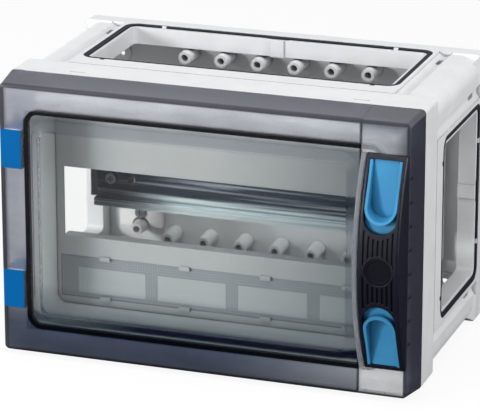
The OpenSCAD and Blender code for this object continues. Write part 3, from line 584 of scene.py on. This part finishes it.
def clear_plastic(name, tint, gloss, clarity=1.0):
    """Plastic that lamps shine through, milky below a clarity of 1. Recipes give tint and roughness."""
    mat, shader = principled(name, IOR=PLASTIC_IOR, Transmission_Weight=clarity)
    colour = tint(mat)
    link(mat, colour, shader.inputs["Base Color"])
    link(mat, gloss(mat), shader.inputs["Roughness"])
    crossing = make(mat, "ShaderNodeGamma", {"Color": colour, "Gamma": ONE_CROSSING})
    straight = make(mat, "ShaderNodeBsdfTransparent", {"Color": crossing.outputs[0]})
    path = make(mat, "ShaderNodeLightPath").outputs
    passes = math_node(mat, "MAXIMUM", path["Is Shadow Ray"], path["Is Diffuse Ray"])
    chosen = make(mat, "ShaderNodeMixShader", {
        0: passes, 1: shader.outputs[0], 2: straight.outputs[0],
    })
    link(mat, chosen.outputs[0], mat.node_tree.nodes["Material Output"].inputs["Surface"])
    return mat


def plain(value):
    """A recipe that gives one value or colour everywhere."""
    def socket(mat):
        kind = "ShaderNodeRGB" if isinstance(value, tuple) else "ShaderNodeValue"
        made = make(mat, kind)
        made.outputs[0].default_value = value
        return made.outputs[0]
    return socket


dress(clear_plastic("clear_strip", plain(CLEAR_STRIP), plain(CLEAR_ROUGH)), "label_cover")

# %% [markdown]
# The door's smoke isn't even: its raised field is clear, its border is cloudy, and a dark line shows where
# the latch strip joins the window. Its colour also carries painted shade, which darkens its walls, its lower
# part and its front edge. The smoke could be fog inside the solid, but fog is slow to render and hard to
# place. So the colour of the plastic carries it, and these helpers say where a point lies: how far it is
# outside a rectangle of the front view, and how near to the joint line.

# %% Places on the door
FIELD_MIDDLE = Vector((-5.4, 0.0, 90.0)) * MM
FIELD_HALF = Vector((100.6, 0.0, 61.0)) * MM
DOOR_MIDDLE = Vector((0.0, 0.0, 90.0)) * MM
DOOR_HALF = Vector((130.2, 0.0, 85.2)) * MM
SEAM = 101.7 * MM
SEAM_LINE = 1.2 * MM
SEAM_CORE = 0.3 * SEAM_LINE
SEAM_DARK = (0.03, 0.032, 0.045, 1.0)
CLOUD_STRETCH = (0.5, 1.0, 1.0)
CLOUD_SCALE = 90.0
CLOUD_SHARE = 0.7
SPARK_SCALE = 900.0
SPARK_SHARE = 0.3
CLOUD_DARK = 0.72
CLOUD_LIGHT = 1.24


def beyond(mat, centre, half):
    """The distance outside a rectangle of the front view, below zero inside it."""
    axes = part_axes(mat, shift=-centre)
    across = math_node(mat, "SUBTRACT", math_node(mat, "ABSOLUTE", axes["X"]), half.x)
    upright = math_node(mat, "SUBTRACT", math_node(mat, "ABSOLUTE", axes["Z"]), half.z)
    return math_node(mat, "MAXIMUM", across, upright)


def with_joint(mat, across, tint):
    """A tint with the dark joint line between the window and the latch strip."""
    off_seam = math_node(mat, "ABSOLUTE", math_node(mat, "SUBTRACT", across, SEAM))
    return mix(mat, spread(mat, off_seam, SEAM_CORE, SEAM_LINE, 1.0, 0.0), tint, SEAM_DARK)


def clouded(mat, colour):
    """A colour that drifts in soft clouds, as a mould with a fine spark grain leaves it."""
    soft = noise(mat, part_place(mat, scale=CLOUD_STRETCH), CLOUD_SCALE, detail=6.0)
    spark = noise(mat, part_place(mat), SPARK_SCALE, detail=2.0)
    cloud = between(mat, soft, 0.0, CLOUD_SHARE)
    grain = between(mat, spark, 0.0, SPARK_SHARE)
    drift = math_node(mat, "ADD", cloud, grain)
    return mix(mat, drift, shade(colour, CLOUD_DARK), shade(colour, CLOUD_LIGHT))


field_size = [round(2 * half / MM, 1) for half in (FIELD_HALF.x, FIELD_HALF.z)]
print("raised field", field_size, "mm")

# %% [markdown]
# The window's raised field is its pane, clear in the middle. Darker tints on its slope, in its lower part,
# towards the latch and in a line along its foot are painted shade for the shadows of the frame and the grip,
# and painted reflections of dark things. Painting this by hand would take a UV map. Ramps of height and
# distance give it at real sizes, one over the other.

# %% Smoke of the pane
FIELD_FADE = 2.0 * MM
SILL_TOP = 51.0 * MM
SILL_LOW = 30.0 * MM
LATCH_START = 10.0 * MM
LATCH_END = 140.0 * MM
FOOT_TOP = 32.5 * MM
FOOT_FULL = 29.5 * MM
FOOT_END = 25.2 * MM
FOOT_REST = 23.8 * MM
FOOT_LEFT = -100.0 * MM
FOOT_RIGHT = -40.0 * MM
FOOT_FAINT = 0.5
# Painted shade: the slope, sill, latch and foot tints stand for shadows and dark reflections.
SMOKE_FIELD = (0.94, 0.955, 0.945, 1.0)
SLOPE_SHADE = (0.58, 0.61, 0.64, 1.0)
SILL_SHADE = (0.22, 0.275, 0.295, 1.0)
LATCH_SHADE = (0.38, 0.42, 0.44, 1.0)
FOOT_SHADOW = (0.008, 0.01, 0.03, 1.0)


def pane_smoke_and_shade(mat, axes, off_field):
    """The clear field, with painted shade on its slope, low down, at the latch side and along the foot."""
    pane = mix(mat, ramp(mat, off_field, -FIELD_FADE, 0.0), SMOKE_FIELD, SLOPE_SHADE)
    pane = mix(mat, ramp(mat, axes["Z"], SILL_TOP, SILL_LOW), pane, SILL_SHADE)
    pane = mix(mat, ramp(mat, axes["X"], LATCH_START, LATCH_END), pane, LATCH_SHADE)
    under_top = ramp(mat, axes["Z"], FOOT_TOP, FOOT_FULL)
    over_rest = ramp(mat, axes["Z"], FOOT_REST, FOOT_END)
    along = spread(mat, axes["X"], FOOT_LEFT, FOOT_RIGHT, FOOT_FAINT, 1.0)
    foot = math_node(mat, "MULTIPLY", math_node(mat, "MULTIPLY", under_top, over_rest), along)
    return mix(mat, foot, pane, FOOT_SHADOW)


print(f"dark foot from {FOOT_TOP / MM:.1f} down to {FOOT_REST / MM:.1f} mm")

# %% [markdown]
# Round the pane lies a cloudy border, and round that the walls of the door. Painted shade makes the border
# deep below the field and the walls dark, and draws a thin dark line along the front edge. They could be
# separate materials on separate faces, but these zones fade into each other. So one recipe goes outwards
# from the field, and each mix lays the next zone over the last.

# %% Smoke of the border and walls
FIELD_SLOPE = 5.5 * MM
FIELD_RIM = 8.0 * MM
LOW_TOP = 36.0 * MM
LOW_FULL = 22.0 * MM
LOW_LEFT = 0.0
LOW_RIGHT = 100.0 * MM
LOW_FAINT = 0.2
EDGE_HALF = Vector((129.0, 0.0, 85.2)) * MM
EDGE_SOFT = 0.4 * MM
WALL_START = 2.0 * MM
WALL_END = 2.5 * MM
PLATE_BACK = -68.2 * MM
# Painted shade: the low border, the walls and the front-edge line are darkened for shade.
SMOKE_BORDER = (0.94, 0.95, 0.98, 1.0)
LOW_SHADE = (0.215, 0.26, 0.36, 1.0)
FRONT_EDGE_SHADE = (0.02, 0.022, 0.035, 1.0)
WALL_SHADE = (0.09, 0.096, 0.128, 1.0)


def border_smoke_and_shade(mat, axes):
    """The cloudy tint of the border, with painted shade deep below the field and less so towards the latch.
    """
    under_top = ramp(mat, axes["Z"], LOW_TOP, LOW_FULL)
    along = spread(mat, axes["X"], LOW_LEFT, LOW_RIGHT, 1.0, LOW_FAINT)
    low = math_node(mat, "MULTIPLY", under_top, along)
    return mix(mat, low, clouded(mat, SMOKE_BORDER), clouded(mat, LOW_SHADE))


def window_smoke_and_shade(mat):
    """The tint of the window: field, border, joint line, and the painted shade of its walls and front edge.
    """
    axes = part_axes(mat)
    off_field = beyond(mat, FIELD_MIDDLE, FIELD_HALF)
    on_border = ramp(mat, off_field, FIELD_SLOPE, FIELD_RIM)
    front = mix(mat, on_border, pane_smoke_and_shade(mat, axes, off_field), border_smoke_and_shade(mat, axes))
    front = with_joint(mat, axes["X"], front)
    on_wall = ramp(mat, beyond(mat, DOOR_MIDDLE, DOOR_HALF), WALL_START, WALL_END)
    walls = mix(mat, on_wall, front, WALL_SHADE)
    on_plate = math_node(mat, "LESS_THAN", axes["Y"], PLATE_BACK)
    near_edge = ramp(mat, beyond(mat, DOOR_MIDDLE, EDGE_HALF), -EDGE_SOFT, EDGE_SOFT)
    return mix(mat, math_node(mat, "MULTIPLY", near_edge, on_plate), walls, FRONT_EDGE_SHADE)


print(f"border starts {FIELD_RIM / MM:.1f} mm outside the field")

# %% [markdown]
# The mould is polished in the field and etched in the border, so the window is clear where one looks in and
# frosted outside its gasket. A clear and a frosted material could meet there, but their edge would be hard.
# One roughness that rises with the distance from the field keeps it soft.

# %% The smoked window
FIELD_ROUGH = 0.04
SLOPE_ROUGH = 0.14
FROST_ROUGH = 0.28
FROST_START = 9.5 * MM
FROST_END = 12.5 * MM


def frost(mat):
    """Roughness: clear in the field, a little dull on its slope, and frosted outside the gasket."""
    off_field = beyond(mat, FIELD_MIDDLE, FIELD_HALF)
    slope = spread(mat, off_field, -EDGE_SOFT, EDGE_SOFT, FIELD_ROUGH, SLOPE_ROUGH)
    border = spread(mat, off_field, FROST_START, FROST_END, 0.0, FROST_ROUGH)
    return math_node(mat, "ADD", slope, border)


dress(clear_plastic("smoked_window", window_smoke_and_shade, frost), "door_window")

# %% [markdown]
# The latch strip closes the door's right side and carries the grip. It is a second moulding, a little
# milky. A painted reflection makes it pale at its foot, and painted shade makes it deep near its outer edge
# and in its walls. The rib that bows out beside the grip is a soft grey. It could share the window's
# recipe, but a recipe of its own keeps the two mouldings apart.

# %% The latch strip
STRIP_ROUGH = 0.22
STRIP_CLARITY = 0.72
STRIP_FADE = 8.0 * MM
STRIP_FADE_SHARE = 0.7
STRIP_WALL = 0.8 * MM
RIB_FOOT = -71.5 * MM
RIB_FULL = -73.0 * MM
# Painted reflection: the strip's pale foot. The wall tint near its edge is painted shade.
STRIP_FOOT_REFLECTION = (0.92, 0.94, 0.95, 1.0)
SMOKE_STRIP = (0.66, 0.685, 0.715, 1.0)
SMOKE_RIB = (0.34, 0.36, 0.39, 1.0)


def strip_smoke_and_painted_light(mat):
    """Strip tint: a painted reflection pales its foot, its rib is deeper, painted shade darkens edge and
    walls.
    """
    axes = part_axes(mat)
    height = ramp(mat, axes["Z"], LOW_FULL, DOOR_MIDDLE.z)
    past_edge = beyond(mat, DOOR_MIDDLE, DOOR_HALF)
    front = mix(mat, height, clouded(mat, STRIP_FOOT_REFLECTION), clouded(mat, SMOKE_STRIP))
    front = mix(mat, ramp(mat, axes["Y"], RIB_FOOT, RIB_FULL), front, SMOKE_RIB)
    near_edge = spread(mat, past_edge, -STRIP_FADE, 0.0, 0.0, STRIP_FADE_SHARE)
    front = mix(mat, math_node(mat, "MULTIPLY", height, near_edge), front, WALL_SHADE)
    front = with_joint(mat, axes["X"], front)
    return mix(mat, ramp(mat, past_edge, 0.0, STRIP_WALL), front, WALL_SHADE)


dress(clear_plastic("smoked_strip", strip_smoke_and_painted_light, plain(STRIP_ROUGH), STRIP_CLARITY), "latch_strip")

# %% [markdown]
# Blue marks where the door opens: the two hinge blocks and the two slides. The slides have a lighter blue
# and a satin skin, and the grip between them is a blue-black soft-touch plastic with broad, dim highlights.
# The recipe for moulded plastic makes them all. Colours alone could tell them apart, but shine does as much
# as colour, so each also has its own roughness and specular level.

# %% Blue slides, blue hinges and dark grip
HINGE_BLUE = (0.0, 0.092, 0.285, 1.0)
SLIDE_BLUE = (0.04, 0.235, 0.44, 1.0)
GRIP_DARK = (0.006, 0.0065, 0.014, 1.0)
PLUG_DARK = (0.003, 0.0035, 0.007, 1.0)

hinge_blue = moulded("hinge_blue", HINGE_BLUE, roughness=0.45, mottle=0.05, Specular_IOR_Level=0.04)
slide_blue = moulded("slide_blue", SLIDE_BLUE, roughness=0.40, mottle=0.05, Specular_IOR_Level=0.2)
grip_dark = moulded("grip_dark", GRIP_DARK, roughness=0.34, mottle=0.12, Specular_IOR_Level=0.32)
plug_dark = moulded("plug_dark", PLUG_DARK, roughness=0.5, mottle=0.12, Specular_IOR_Level=0.12)
dress(hinge_blue, "hinge_block_upper", "hinge_block_lower")
dress(slide_blue, "latch_slide_upper", "latch_slide_lower")
dress(grip_dark, "latch_grip")
dress(plug_dark, "lock_plug")

# %% [markdown]
# Looks must not change the size of the part. The box of the CAD is written out here.

# %% Size
print("cad   ", [round(c, 4) for c in (*cad_low, *cad_high)])
